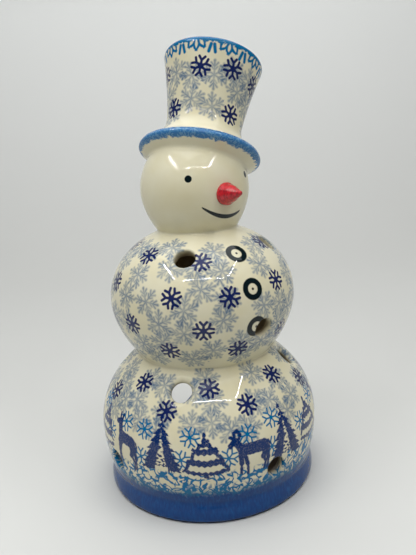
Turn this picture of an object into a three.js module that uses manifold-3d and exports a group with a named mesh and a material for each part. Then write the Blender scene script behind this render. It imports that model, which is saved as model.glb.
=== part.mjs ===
// Stoneware snowman tealight lantern: two hollow balls pierced with light holes,
// a head with a carrot nose, and a leaning top hat that is open at the top.
// The shell is one fired piece; its four thrown forms are separate solids that meet
// at their joins, so that each hollow form is simple.
// Millimetres, +Z up, origin at the centre of the foot, the face looks along -Y.
import * as THREE from "three";
import { mergeVertices } from "three/addons/utils/BufferGeometryUtils.js";
import Module from "manifold-3d";

const wasm = await Module();
wasm.setup();

// Driving dimensions of the thrown and cast shell
const WALL = 4.5;
const FLOOR_TOP = 5;
const FOOT = { z: 2.2, radius: 50.6, up: 29, down: 9, upPower: 2, downPower: 2 };
const BASE_BALL = { z: 29.6, radius: 52.5, up: 42.7, down: 57.8, upPower: 2, downPower: 2 };
const MIDDLE_BALL = { z: 89.7, radius: 43.4, up: 34.2, down: 42.7, upPower: 2.1, downPower: 1.75 };
const HEAD_BALL = { z: 139.2, radius: 24.9, up: 25.7, down: 29.5, upPower: 2, downPower: 1.75 };
const FOOT_TOP_Z = 9.1;

// The upper forms were joined a little off the foot's centre
const MIDDLE_OFFSET = [0.64, -0.4];
const HEAD_OFFSET = [0.38, -0.24];

// The hat leans towards the figure's left (+X) and a little to its back (+Y)
const HAT = {
  seat: 14.4,
  lean: 24,
  leanToward: 27,
  height: 47.6,
  crownBase: 16.5,
  crownTop: 23.9,
  flarePower: 1.8,
  lip: 2.8,
  footFillet: 14,
};
const BRIM = {
  lean: 24.8,
  leanToward: 31.8,
  rise: 1.3,
  radius: 28.2,
  halfThickness: 1.6,
  skirtRadius: 19.8,
  skirtDrop: 4.8,
};
const HAT_JOIN_BELOW_BRIM = 0.5;

// Holes: angle round the figure from its face, positive to its left, and height
const LIGHT_HOLE_RADIUS = 4.5;
const HOLE_ROWS = [
  { ball: BASE_BALL, z: 21.5, angles: [0, 88, -88] },
  { ball: BASE_BALL, z: 57.4, angles: [49, -49, 131, -131], flare: 7 },
  { ball: MIDDLE_BALL, z: 81.2, angles: [5, 124, -117] },
  { ball: MIDDLE_BALL, z: 113.6, angles: [44, -44, 135, -135] },
];
const TEALIGHT_DOOR = { radius: 25, z: 32 };

// Carrot nose, a separately formed cone seated in a shallow pocket in the head
const NOSE = {
  z: 137.9,
  rise: 4,
  baseRadius: 4.8,
  length: 10.6,
  tipRadius: 1.1,
  taperPower: 1.25,
  seatDepth: 1.2,
};
const SEAM_GAP = 0.3;

// Fineness of the faceted surfaces
const OUTER_SEGMENTS = 44;
const INNER_SEGMENTS = 20;
const HAT_SEGMENTS = 30;
const HOLE_SEGMENTS = 12;

const UP = new THREE.Vector3(0, 0, 1);
const radians = THREE.MathUtils.degToRad;

// Radius of a ball at height z: a superellipse with its own upper and lower reach
function ballRadius(ball, z, inset = 0) {
  const dz = z - ball.z;
  const reach = (dz > 0 ? ball.up : ball.down) - inset;
  const power = dz > 0 ? ball.upPower : ball.downPower;
  const share = Math.abs(dz) / reach;
  if (share >= 1) return 0;
  return (ball.radius - inset) * Math.pow(1 - Math.pow(share, power), 1 / power);
}

// Outward normal of a ball's profile at height z, as [outward, up]
function ballNormal(ball, z) {
  const step = 0.01;
  const slope = (ballRadius(ball, z + step) - ballRadius(ball, z - step)) / (2 * step);
  const length = Math.hypot(1, slope);
  return [1 / length, -slope / length];
}

// The height between two stacked balls where their profiles cross
function crossing(lower, upper, inset = 0) {
  let low = lower.z;
  let high = upper.z;
  for (let i = 0; i < 50; i++) {
    const middle = (low + high) / 2;
    const lowerIsWider = ballRadius(lower, middle, inset) > ballRadius(upper, middle, inset);
    if (lowerIsWider) low = middle;
    else high = middle;
  }
  return (low + high) / 2;
}

// Points of a ball's profile between two heights, closer together near its poles
function ballArc(ball, from, to, steps, inset = 0) {
  const angleAt = (z) => {
    const reach = (z > ball.z ? ball.up : ball.down) - inset;
    return Math.asin(THREE.MathUtils.clamp((z - ball.z) / reach, -1, 1));
  };
  const start = angleAt(from);
  const end = angleAt(to);
  const points = [];
  for (let i = 0; i <= steps; i++) {
    const angle = start + ((end - start) * i) / steps;
    const reach = (angle > 0 ? ball.up : ball.down) - inset;
    const z = ball.z + reach * Math.sin(angle);
    points.push(new THREE.Vector2(ballRadius(ball, z, inset), z));
  }
  return points;
}

// A closed manifold solid from any closed three.js geometry
function solid(geometry, matrix) {
  const bare = geometry.clone();
  bare.deleteAttribute("normal");
  bare.deleteAttribute("uv");
  if (matrix) bare.applyMatrix4(matrix);
  const merged = mergeVertices(bare, 1e-4);
  return new wasm.Manifold(
    new wasm.Mesh({
      numProp: 3,
      vertProperties: new Float32Array(merged.attributes.position.array),
      triVerts: new Uint32Array(merged.index.array),
    }),
  );
}

// A solid of revolution about +Z from points (radius, height) that run from low to high
function turned(points, segments, matrix) {
  const stand = new THREE.Matrix4().makeRotationX(Math.PI / 2);
  const placed = matrix ? matrix.clone().multiply(stand) : stand;
  return solid(new THREE.LatheGeometry(points, segments), placed);
}

function meshOf(manifold, name, material) {
  const made = manifold.getMesh();
  const geometry = new THREE.BufferGeometry();
  geometry.setAttribute("position", new THREE.BufferAttribute(made.vertProperties, 3));
  geometry.setIndex(new THREE.BufferAttribute(made.triVerts, 1));
  geometry.computeVertexNormals();
  const mesh = new THREE.Mesh(geometry, material);
  mesh.name = name;
  return mesh;
}

// Unit vector that leans from +Z by an angle, towards a compass angle from +X
function leaning(lean, toward) {
  const across = Math.sin(radians(lean));
  return new THREE.Vector3(
    across * Math.cos(radians(toward)),
    across * Math.sin(radians(toward)),
    Math.cos(radians(lean)),
  );
}

// Matrix that stands a piece made along +Z on a point, along a direction
function standing(point, direction) {
  const turn = new THREE.Quaternion().setFromUnitVectors(UP, direction);
  return new THREE.Matrix4().compose(point, turn, new THREE.Vector3(1, 1, 1));
}

const hatAxis = leaning(HAT.lean, HAT.leanToward);
const hatSeat = new THREE.Vector3(...HEAD_OFFSET, HEAD_BALL.z).addScaledVector(hatAxis, HAT.seat);
const brimAxis = leaning(BRIM.lean, BRIM.leanToward);
const brimCentre = hatSeat.clone().addScaledVector(brimAxis, BRIM.rise);

// The crown's radius at a height above the seat: it flares towards the top
function crownRadius(height) {
  const share = THREE.MathUtils.clamp(height / HAT.height, 0, 1);
  return HAT.crownBase + (HAT.crownTop - HAT.crownBase) * Math.pow(share, HAT.flarePower);
}

// A ball's solid between two heights, closed flat at both ends
function ballSolid(ball, from, to, steps, segments, offset, inset = 0) {
  const points = [
    new THREE.Vector2(0, from),
    ...ballArc(ball, from, to, steps, inset),
    new THREE.Vector2(0, to),
  ];
  const place = new THREE.Matrix4().makeTranslation(offset[0], offset[1], 0);
  return turned(points, segments, place);
}

// The heights between which the middle ball and the head are used, well inside their neighbours
function stackedBalls(segments, steps, inset) {
  const overlap = 6;
  const waist = crossing(BASE_BALL, MIDDLE_BALL, inset);
  const neck = crossing(MIDDLE_BALL, HEAD_BALL, inset);
  const headTop = HEAD_BALL.z + HEAD_BALL.up - inset - 0.5;
  const middleFrom = waist - overlap;
  const middle = ballSolid(
    MIDDLE_BALL, middleFrom, neck + 1, steps.middle, segments, MIDDLE_OFFSET, inset,
  );
  const head = ballSolid(HEAD_BALL, neck - 1, headTop, steps.head, segments, HEAD_OFFSET, inset);
  return { waist, middle, head };
}

function figureOutside() {
  const { waist, middle, head } = stackedBalls(OUTER_SEGMENTS, { middle: 12, head: 9 }, 0);
  const footEdge = 1.2;
  const points = [
    new THREE.Vector2(0, 0),
    new THREE.Vector2(ballRadius(FOOT, 0) - footEdge, 0),
    new THREE.Vector2(ballRadius(FOOT, footEdge) - footEdge * 0.3, footEdge * 0.3),
    new THREE.Vector2(ballRadius(FOOT, footEdge), footEdge),
    ...ballArc(FOOT, FOOT.z + 2, FOOT_TOP_Z, 2),
    ...ballArc(BASE_BALL, FOOT_TOP_Z + 0.5, waist + 1, 11),
    new THREE.Vector2(0, waist + 1),
  ];
  return turned(points, OUTER_SEGMENTS).add(middle).add(head);
}

function figureInside() {
  const { waist, middle, head } = stackedBalls(INNER_SEGMENTS, { middle: 7, head: 5 }, WALL);
  const points = [
    new THREE.Vector2(0, FLOOR_TOP),
    ...ballArc(BASE_BALL, FLOOR_TOP, waist + 1, 7, WALL),
    new THREE.Vector2(0, waist + 1),
  ];
  return turned(points, INNER_SEGMENTS).add(middle).add(head);
}

// The brim: a round edge, a flat top, and a skirt that slopes down to the head
function brimSolid() {
  const edgeRadius = BRIM.radius - BRIM.halfThickness;
  const slope = Math.atan2(BRIM.skirtDrop, edgeRadius - BRIM.skirtRadius);
  const underside = slope - Math.PI / 2;
  const skirtBottom = new THREE.Vector2(
    BRIM.skirtRadius + BRIM.halfThickness * Math.cos(underside),
    -BRIM.skirtDrop + BRIM.halfThickness * Math.sin(underside),
  );
  const points = [new THREE.Vector2(0, skirtBottom.y), skirtBottom];
  const edgeSteps = 4;
  for (let i = 0; i <= edgeSteps; i++) {
    const angle = underside + ((Math.PI / 2 - underside) * i) / edgeSteps;
    points.push(new THREE.Vector2(
      edgeRadius + BRIM.halfThickness * Math.cos(angle),
      BRIM.halfThickness * Math.sin(angle),
    ));
  }
  points.push(new THREE.Vector2(0, BRIM.halfThickness));
  return turned(points, HAT_SEGMENTS, standing(brimCentre, brimAxis));
}

// The crown's radius with its foot, which spreads in a round hollow down to the brim's top
function crownAndFoot(height) {
  const above = height - BRIM.rise - BRIM.halfThickness;
  const short = Math.max(HAT.footFillet - above, 0);
  return crownRadius(height) + HAT.footFillet - Math.sqrt(HAT.footFillet ** 2 - short ** 2);
}

function hatOutside() {
  const heights = [3.6, 5, 7, 10, 16, 26, 36, HAT.height - HAT.lip];
  const side = heights.map((height) => new THREE.Vector2(crownAndFoot(height), height));
  const insideBrim = [
    new THREE.Vector2(0, 0),
    new THREE.Vector2(BRIM.skirtRadius, 0),
    new THREE.Vector2(BRIM.radius - 1, BRIM.rise + BRIM.halfThickness / 2),
  ];
  const lip = [];
  const lipSteps = 3;
  for (let i = 1; i <= lipSteps; i++) {
    const angle = (Math.PI / 2) * (i / lipSteps);
    const height = HAT.height - HAT.lip + HAT.lip * Math.sin(angle);
    lip.push(new THREE.Vector2(crownRadius(height) - HAT.lip * (1 - Math.cos(angle)), height));
  }
  const crown = turned(
    [...insideBrim, ...side, ...lip, new THREE.Vector2(0, HAT.height)],
    HAT_SEGMENTS,
    standing(hatSeat, hatAxis),
  );
  return brimSolid().add(crown);
}

function hatInside() {
  const points = [new THREE.Vector2(0, -WALL)];
  const steps = 4;
  for (let i = 0; i <= steps; i++) {
    const height = -WALL + ((HAT.height + WALL) * i) / steps;
    points.push(new THREE.Vector2(crownRadius(height) - WALL, height));
  }
  points.push(new THREE.Vector2(crownRadius(HAT.height) - WALL + 1, HAT.height + 2));
  points.push(new THREE.Vector2(0, HAT.height + 2));
  return turned(points, INNER_SEGMENTS, standing(hatSeat, hatAxis));
}

// Direction out of the figure at an angle from the face, with a rise
function outward(angle, across, up) {
  return new THREE.Vector3(
    across * Math.sin(radians(angle)),
    -across * Math.cos(radians(angle)),
    up,
  );
}

// A punch square to the ball's surface, with a countersunk mouth where the row has a flare
function lightHole(row, angle) {
  const [across, up] = ballNormal(row.ball, row.z);
  const direction = outward(angle, across, up);
  const surface = outward(angle, ballRadius(row.ball, row.z), row.z);
  if (row.ball === MIDDLE_BALL) surface.add(new THREE.Vector3(...MIDDLE_OFFSET, 0));
  const inward = 3 * WALL;
  const beyond = 3;
  const flareDepth = 2.6;
  const points = [new THREE.Vector2(0, -inward), new THREE.Vector2(LIGHT_HOLE_RADIUS, -inward)];
  if (row.flare) {
    const spread = (row.flare - LIGHT_HOLE_RADIUS) / flareDepth;
    points.push(new THREE.Vector2(LIGHT_HOLE_RADIUS, -flareDepth));
    points.push(new THREE.Vector2(row.flare + spread * beyond, beyond));
  } else {
    points.push(new THREE.Vector2(LIGHT_HOLE_RADIUS, beyond));
  }
  points.push(new THREE.Vector2(0, beyond));
  return turned(points, HOLE_SEGMENTS, standing(surface, direction));
}

// The round doorway in the back of the base ball, cut straight along +Y
function tealightDoor() {
  const start = 28;
  const depth = 30;
  const points = [
    new THREE.Vector2(0, 0),
    new THREE.Vector2(TEALIGHT_DOOR.radius, 0),
    new THREE.Vector2(TEALIGHT_DOOR.radius, depth),
    new THREE.Vector2(0, depth),
  ];
  const origin = new THREE.Vector3(0, start, TEALIGHT_DOOR.z);
  return turned(points, 2 * HOLE_SEGMENTS, standing(origin, new THREE.Vector3(0, 1, 0)));
}

const noseDirection = outward(0, Math.cos(radians(NOSE.rise)), Math.sin(radians(NOSE.rise)));
const noseSurface = outward(0, ballRadius(HEAD_BALL, NOSE.z), NOSE.z);
noseSurface.add(new THREE.Vector3(...HEAD_OFFSET, 0));
const noseSeat = noseSurface.clone().addScaledVector(noseDirection, -NOSE.seatDepth);

function nosePocket() {
  const wide = NOSE.baseRadius + SEAM_GAP;
  const points = [
    new THREE.Vector2(0, -SEAM_GAP),
    new THREE.Vector2(wide, -SEAM_GAP),
    new THREE.Vector2(wide, 6),
    new THREE.Vector2(0, 6),
  ];
  return turned(points, 24, standing(noseSeat, noseDirection));
}

function nose() {
  const coneLength = NOSE.length - NOSE.tipRadius;
  const coneEnd = NOSE.seatDepth + coneLength;
  const points = [new THREE.Vector2(0, 0), new THREE.Vector2(NOSE.baseRadius, 0)];
  const steps = 4;
  for (let i = 0; i <= steps; i++) {
    const taper = Math.pow(i / steps, NOSE.taperPower);
    const radius = THREE.MathUtils.lerp(NOSE.baseRadius, NOSE.tipRadius, taper);
    points.push(new THREE.Vector2(radius, NOSE.seatDepth + (coneLength * i) / steps));
  }
  points.push(new THREE.Vector2(NOSE.tipRadius * 0.6, coneEnd + NOSE.tipRadius * 0.8));
  points.push(new THREE.Vector2(0, coneEnd + NOSE.tipRadius));
  return turned(points, 24, standing(noseSeat, noseDirection));
}

const creamGlaze = new THREE.MeshStandardMaterial({
  color: 0xd9d4bd,
  roughness: 0.14,
  metalness: 0,
});
const redGlaze = new THREE.MeshStandardMaterial({
  color: 0xb8331f,
  roughness: 0.18,
  metalness: 0,
});

let body = figureOutside().add(hatOutside());
body = body.subtract(figureInside().add(hatInside()));
for (const row of HOLE_ROWS) {
  for (const angle of row.angles) body = body.subtract(lightHole(row, angle));
}
body = body.subtract(tealightDoor()).subtract(nosePocket());

// The joins between the thrown forms: waist, neck, and just under the brim
const brimBottom = BRIM.skirtDrop + BRIM.halfThickness;
const hatJoin = brimCentre.dot(brimAxis) - brimBottom - HAT_JOIN_BELOW_BRIM;
const [aboveWaist, baseBall] = body.splitByPlane([0, 0, 1], crossing(BASE_BALL, MIDDLE_BALL));
const [aboveNeck, middleBall] = aboveWaist.splitByPlane([0, 0, 1], crossing(MIDDLE_BALL, HEAD_BALL));
const [topHat, head] = aboveNeck.splitByPlane(brimAxis.toArray(), hatJoin);

const lantern = new THREE.Group();
lantern.add(meshOf(baseBall, "base_ball", creamGlaze));
lantern.add(meshOf(middleBall, "middle_ball", creamGlaze));
lantern.add(meshOf(head, "head", creamGlaze));
lantern.add(meshOf(topHat, "top_hat", creamGlaze));
lantern.add(meshOf(nose(), "carrot_nose", redGlaze));

export default lantern;
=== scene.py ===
import bpy
import math
import random
import numpy as np
import openvdb
from mathutils import Matrix, Vector


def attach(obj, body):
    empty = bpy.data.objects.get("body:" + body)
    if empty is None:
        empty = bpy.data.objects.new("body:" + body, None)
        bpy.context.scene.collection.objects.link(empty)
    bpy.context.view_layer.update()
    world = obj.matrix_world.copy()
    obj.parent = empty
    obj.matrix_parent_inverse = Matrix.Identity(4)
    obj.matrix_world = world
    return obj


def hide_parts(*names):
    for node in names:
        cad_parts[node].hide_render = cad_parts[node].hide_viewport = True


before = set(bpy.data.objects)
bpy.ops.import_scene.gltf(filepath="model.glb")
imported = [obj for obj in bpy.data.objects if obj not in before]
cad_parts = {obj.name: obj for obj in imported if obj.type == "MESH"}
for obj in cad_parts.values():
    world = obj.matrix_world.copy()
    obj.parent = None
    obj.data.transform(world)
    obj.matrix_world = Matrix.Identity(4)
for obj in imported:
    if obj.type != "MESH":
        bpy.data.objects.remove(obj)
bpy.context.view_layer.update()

MM = 0.001
TINY = 1e-6


# Driving dimensions in millimetres as in the solids, and the rounding and rings that only the scene has
class Ball:
    """A round form about an upright axis, drawn out by different amounts above and below."""

    def __init__(self, z, radius, up, down, up_power=2.0, down_power=2.0):
        self.z = z
        self.radius = radius
        self.up = up
        self.down = down
        self.up_power = up_power
        self.down_power = down_power

    def radius_at(self, z):
        dz = z - self.z
        reach = self.up if dz > 0 else self.down
        power = self.up_power if dz > 0 else self.down_power
        share = min(abs(dz) / reach, 1.0)
        return self.radius * (1 - share ** power) ** (1 / power)

    def normal_at(self, z):
        """Outward and upward parts of the surface's normal at a height."""
        step = 0.01
        slope = (self.radius_at(z + step) - self.radius_at(z - step)) / (2 * step)
        length = math.hypot(1, slope)
        return 1 / length, -slope / length


WALL = 4.5
FLOOR_TOP = 5.0
FOOT = Ball(2.2, 50.6, 29, 9)
BASE_BALL = Ball(29.6, 52.5, 42.7, 57.8)
MIDDLE_BALL = Ball(89.7, 43.4, 34.2, 42.7, 2.1, 1.75)
HEAD_BALL = Ball(139.2, 24.9, 25.7, 29.5, 2, 1.75)
MIDDLE_OFFSET = np.array([0.64, -0.4, 0])
HEAD_OFFSET = np.array([0.38, -0.24, 0])
FOOT_EDGE = 1.2
FOOT_FILLET = 0.8
WAIST_FILLET = 1.3
NECK_FILLET = 1.2
INNER_FILLET = 1.5
FLOOR_FILLET = 2.5

HAT_SEAT = 14.4
HAT_LEAN = 24
HAT_LEAN_TOWARD = 27
HAT_HEIGHT = 47.6
CROWN_BASE = 16.5
CROWN_TOP = 23.9
CROWN_FLARE_POWER = 1.8
CROWN_LIP = 2.8
BRIM_LEAN = 24.8
BRIM_LEAN_TOWARD = 31.8
BRIM_RISE = 1.3
BRIM_RADIUS = 28.2
BRIM_HALF_THICKNESS = 1.6
SKIRT_RADIUS = 19.8
SKIRT_DROP = 4.8
CROWN_FILLET = 14
LEAST_FILLET_SHARE = 0.05
FLARE_GOES_TO = 1.2
BRIM_FILLET = 1.2
FLUE_ROUNDING = 2.0
RIM_ROUNDING = 1.5

LIGHT_HOLE_RADIUS = 4.5
HOLE_ROWS = [
    (BASE_BALL, 21.5, [0, 88, -88], 0.8),
    (BASE_BALL, 57.4, [49, -49, 131, -131], 2.8),
    (MIDDLE_BALL, 81.2, [5, 124, -117], 1.0),
    (MIDDLE_BALL, 113.6, [44, -44, 135, -135], 1.0),
]
DOOR_RADIUS = 25
DOOR_Z = 32
DOOR_START = 20
DOOR_ROUNDING = 1.4
HOLE_DEPTH = 3 * WALL
HOLE_ROOM = 4 * WALL

NOSE_Z = 137.9
NOSE_RISE = 4
NOSE_BASE_RADIUS = 4.8
NOSE_LENGTH = 10.6
NOSE_TIP_RADIUS = 1.1
NOSE_BULGE = 1.25
NOSE_SEAT_DEPTH = 1.2
NOSE_RIPPLE = 0.17
NOSE_RINGS = 2.5


def leaning(lean, toward):
    """Unit vector that leans from +Z by an angle, towards a compass angle from +X."""
    across = math.sin(math.radians(lean))
    turn = math.radians(toward)
    return np.array([across * math.cos(turn), across * math.sin(turn), math.cos(math.radians(lean))])


def outward(angle, across, up):
    """A vector out of the figure at an angle from its face, positive to its left."""
    turn = math.radians(angle)
    return np.array([across * math.sin(turn), -across * math.cos(turn), up])


HAT_AXIS = leaning(HAT_LEAN, HAT_LEAN_TOWARD)
BRIM_AXIS = leaning(BRIM_LEAN, BRIM_LEAN_TOWARD)
HAT_POINT = HEAD_OFFSET + np.array([0, 0, HEAD_BALL.z]) + HAT_SEAT * HAT_AXIS
BRIM_POINT = HAT_POINT + BRIM_RISE * BRIM_AXIS


def add_object(name, data):
    added = bpy.data.objects.new(name, data)
    bpy.context.scene.collection.objects.link(added)
    return added


def add_mesh(name, points, faces):
    """A new object from points in metres."""
    mesh = bpy.data.meshes.new(name)
    mesh.from_pydata(points, [], faces)
    return add_object(name, mesh)


# The camera stands where the photograph was taken
CAMERA_PLACE = (-137.5, -220.0, 160.2)
CAMERA_HEADING = math.radians(57.14)
CAMERA_PITCH = math.radians(-13.7)
CAMERA_ROLL = math.radians(-3.72)
FOCAL_PIXELS = 560.2
IMAGE_HEIGHT = 555
SENSOR = 36.0
AWAY = np.array([math.cos(CAMERA_HEADING), math.sin(CAMERA_HEADING), 0])


def make_camera():
    level = math.cos(CAMERA_PITCH)
    forward = Vector((AWAY[0] * level, AWAY[1] * level, math.sin(CAMERA_PITCH)))
    right = forward.cross(Vector((0, 0, 1))).normalized()
    up = right.cross(forward)
    c, s = math.cos(CAMERA_ROLL), math.sin(CAMERA_ROLL)
    rolled_right = right * c + up * s
    rolled_up = up * c - right * s
    data = bpy.data.cameras.new("camera")
    data.sensor_fit = "VERTICAL"
    data.sensor_height = SENSOR
    data.lens = FOCAL_PIXELS / IMAGE_HEIGHT * SENSOR
    data.clip_start = 0.01
    data.clip_end = 20
    camera = add_object("camera", data)
    turn = Matrix((rolled_right, rolled_up, -forward)).transposed().to_4x4()
    camera.matrix_world = Matrix.Translation(Vector(CAMERA_PLACE) * MM) @ turn
    bpy.context.scene.camera = camera


make_camera()


# The glazed shell as a signed distance in millimetres, negative inside the clay
def ball_distance(rho, z, ball, inset=0.0):
    dz = z - ball.z
    above = dz > 0
    reach = np.where(above, ball.up - inset, ball.down - inset)
    power = np.where(above, ball.up_power, ball.down_power)
    radius = ball.radius - inset
    across = rho / radius + TINY
    along = np.abs(dz) / reach + TINY
    total = across ** power + along ** power
    value = total ** (1 / power)
    across_slope = value / total * across ** (power - 1) / radius
    along_slope = value / total * along ** (power - 1) / reach
    return (value - 1) / np.hypot(across_slope, along_slope)


def join(a, b, fillet):
    """Union with a round fillet in the groove."""
    inner = np.maximum(np.minimum(a, b), fillet)
    return inner - np.hypot(np.maximum(fillet - a, 0), np.maximum(fillet - b, 0))


def cut(a, b, rounding):
    """What is inside both a and b, with a rounded edge."""
    outer = np.minimum(np.maximum(a, b), -rounding)
    return outer + np.hypot(np.maximum(a + rounding, 0), np.maximum(b + rounding, 0))


def along_and_across(points, origin, axis):
    offset = points - origin
    along = offset @ axis
    across = np.sqrt(np.maximum((offset * offset).sum(1) - along * along, 0))
    return along, across


def round_the_axis(points, offset):
    return np.hypot(points[:, 0] - offset[0], points[:, 1] - offset[1])


def crown_radius(height):
    share = np.clip(height / HAT_HEIGHT, 0, FLARE_GOES_TO)
    return CROWN_BASE + (CROWN_TOP - CROWN_BASE) * share ** CROWN_FLARE_POWER


def brim_distance(points):
    """A disc with a round edge and a skirt that slopes down to the head."""
    lift, spread = along_and_across(points, BRIM_POINT, BRIM_AXIS)
    edge = BRIM_RADIUS - BRIM_HALF_THICKNESS
    flat = np.hypot(np.maximum(spread - edge, 0), lift)
    inward = edge - SKIRT_RADIUS
    share = ((edge - spread) * inward - lift * SKIRT_DROP) / (inward ** 2 + SKIRT_DROP ** 2)
    share = np.clip(share, 0, 1)
    skirt = np.hypot(edge - spread - share * inward, lift + share * SKIRT_DROP)
    return np.minimum(flat, skirt) - BRIM_HALF_THICKNESS


def outside_distance(points):
    z = points[:, 2]
    rho = np.hypot(points[:, 0], points[:, 1])
    base = join(ball_distance(rho, z, BASE_BALL), ball_distance(rho, z, FOOT), FOOT_FILLET)
    base = cut(base, -z, FOOT_EDGE)
    middle = ball_distance(round_the_axis(points, MIDDLE_OFFSET), z, MIDDLE_BALL)
    head = ball_distance(round_the_axis(points, HEAD_OFFSET), z, HEAD_BALL)
    figure = join(join(base, middle, WAIST_FILLET), head, NECK_FILLET)

    height, radius = along_and_across(points, HAT_POINT, HAT_AXIS)
    crown = cut(radius - crown_radius(height), height - HAT_HEIGHT, CROWN_LIP)
    crown = np.maximum(crown, -height)
    lift = (points - BRIM_POINT) @ BRIM_AXIS
    fillet = CROWN_FILLET * np.clip(lift / BRIM_HALF_THICKNESS, LEAST_FILLET_SHARE, 1)
    return join(figure, join(crown, brim_distance(points), fillet), BRIM_FILLET)


def inside_distance(points):
    z = points[:, 2]
    rho = np.hypot(points[:, 0], points[:, 1])
    base = cut(ball_distance(rho, z, BASE_BALL, WALL), FLOOR_TOP - z, FLOOR_FILLET)
    middle = ball_distance(round_the_axis(points, MIDDLE_OFFSET), z, MIDDLE_BALL, WALL)
    head = ball_distance(round_the_axis(points, HEAD_OFFSET), z, HEAD_BALL, WALL)
    figure = join(join(base, middle, INNER_FILLET), head, INNER_FILLET)
    height, radius = along_and_across(points, HAT_POINT, HAT_AXIS)
    hat = cut(radius - crown_radius(height) + WALL, -height - WALL, FLUE_ROUNDING)
    return join(figure, hat, INNER_FILLET)


def surface_place(ball, angle, z):
    """Point of a ball's surface, and the outward normal there."""
    across, up = ball.normal_at(z)
    offset = {BASE_BALL: 0, MIDDLE_BALL: MIDDLE_OFFSET, HEAD_BALL: HEAD_OFFSET}[ball]
    return outward(angle, ball.radius_at(z), z) + offset, outward(angle, across, up)


def shell_distance(points):
    shell = cut(outside_distance(points), -inside_distance(points), RIM_ROUNDING)
    for ball, z, angles, rounding in HOLE_ROWS:
        for angle in angles:
            surface, axis = surface_place(ball, angle, z)
            near = np.abs(points - surface).max(axis=1) < HOLE_ROOM
            depth, radius = along_and_across(points[near], surface, axis)
            hole = np.maximum(radius - LIGHT_HOLE_RADIUS, -depth - HOLE_DEPTH)
            shell[near] = cut(shell[near], -hole, rounding)
    door = np.hypot(points[:, 0], points[:, 2] - DOOR_Z) - DOOR_RADIUS
    door = np.maximum(door, DOOR_START - points[:, 1])
    return cut(shell, -door, DOOR_ROUNDING)


def distance_slope(points):
    step = 0.02
    slope = np.empty_like(points)
    for axis in range(3):
        offset = np.zeros(3)
        offset[axis] = step
        slope[:, axis] = shell_distance(points + offset) - shell_distance(points - offset)
    return slope / (2 * step)


VOXEL = 0.62
SHELL_TRIANGLES = 186000
GRID_LOW = np.array([-54.5, -54.5, -2.0])
GRID_HIGH = np.array([54.5, 54.5, 207.0])
GRID_BLOCK = 4
GRID_BATCH = 8000
HALF_DIAGONAL = 0.87
NEAR_MARGIN = 1.8


def surface_mesh(voxel):
    """Points and quads of the shell, from a grid that is exact only near the surface."""
    block = GRID_BLOCK * voxel
    blocks = np.ceil((GRID_HIGH - GRID_LOW) / block).astype(int)
    axes = [GRID_LOW[i] + (np.arange(blocks[i]) + 0.5) * block - 0.5 * voxel for i in range(3)]
    coarse = np.stack(np.meshgrid(*axes, indexing="ij"), -1)
    far = shell_distance(coarse.reshape(-1, 3)).reshape(blocks)
    far_value = 3 * voxel
    values = np.where(far > 0, far_value, -far_value).astype(np.float32)
    for axis in range(3):
        values = np.repeat(values, GRID_BLOCK, axis)
    near = np.argwhere(np.abs(far) < block * HALF_DIAGONAL + NEAR_MARGIN * voxel)
    inner = np.stack(np.meshgrid(*[np.arange(GRID_BLOCK)] * 3, indexing="ij"), -1).reshape(1, -1, 3)
    for start in range(0, len(near), GRID_BATCH):
        index = (near[start:start + GRID_BATCH, None, :] * GRID_BLOCK + inner).reshape(-1, 3)
        exact = shell_distance(GRID_LOW + index * voxel)
        values[index[:, 0], index[:, 1], index[:, 2]] = np.clip(exact, -far_value, far_value)
    grid = openvdb.FloatGrid(far_value)
    grid.copyFromArray(values)
    points, quads = grid.convertToQuads(0.0)
    return GRID_LOW + points * voxel, quads


def settle(points):
    """Moves points onto the exact surface and returns them with their normals."""
    steps = 3
    longest = 0.5
    for _ in range(steps):
        distance = shell_distance(points)
        slope = distance_slope(points)
        steepness = np.maximum((slope * slope).sum(1), 0.25)
        points = points - slope * np.clip(distance / steepness, -longest, longest)[:, None]
    slope = distance_slope(points)
    return points, slope / np.maximum(np.linalg.norm(slope, axis=1), TINY)[:, None]


def mesh_points(mesh):
    flat = np.empty(len(mesh.vertices) * 3)
    mesh.vertices.foreach_get("co", flat)
    return flat.reshape(-1, 3)


def thin_out(shell, ratio):
    """Gives the shell a mesh with a share of its triangles."""
    full = shell.data
    thin = shell.modifiers.new("thin", "DECIMATE")
    thin.ratio = ratio
    thin.use_collapse_triangulate = True
    evaluated = shell.evaluated_get(bpy.context.evaluated_depsgraph_get())
    thinned = bpy.data.meshes.new_from_object(evaluated)
    shell.modifiers.clear()
    shell.data = thinned
    name = full.name
    bpy.data.meshes.remove(full)
    thinned.name = name


def make_shell():
    points, quads = surface_mesh(VOXEL)
    shell = add_mesh("glazed_shell", (points * MM).tolist(), quads.tolist())
    triangles = 2 * len(quads)
    if triangles > SHELL_TRIANGLES:
        thin_out(shell, SHELL_TRIANGLES / triangles)
    mesh = shell.data
    points, normals = settle(mesh_points(mesh) / MM)
    mesh.vertices.foreach_set("co", (points * MM).ravel())
    mesh.update()
    mesh.shade_smooth()
    mesh.normals_split_custom_set_from_vertices(normals.tolist())
    return shell


# Every stamp is drawn in its own small frame, which the faces that it covers carry at their corners
FAR_AWAY = 9.0
PAINT_DEPTH = 0.9
RIM_SPONGE_BELOW = 2.1
RIM_SPONGE_INWARD = 22.5
RIM_SPONGE_DEPTH = 1.2
BAND_FROM = 30
FACING = 0.05
STAMP_SPREAD = 1.15
STAMP_MARGIN = 1.2

# The base ball's upper holes flare, and the paint runs deeper into them
FLARE_TOP = 66
FLARE_BOTTOM = 47
FLARE_PAINT_DEPTH = 2.6


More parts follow.
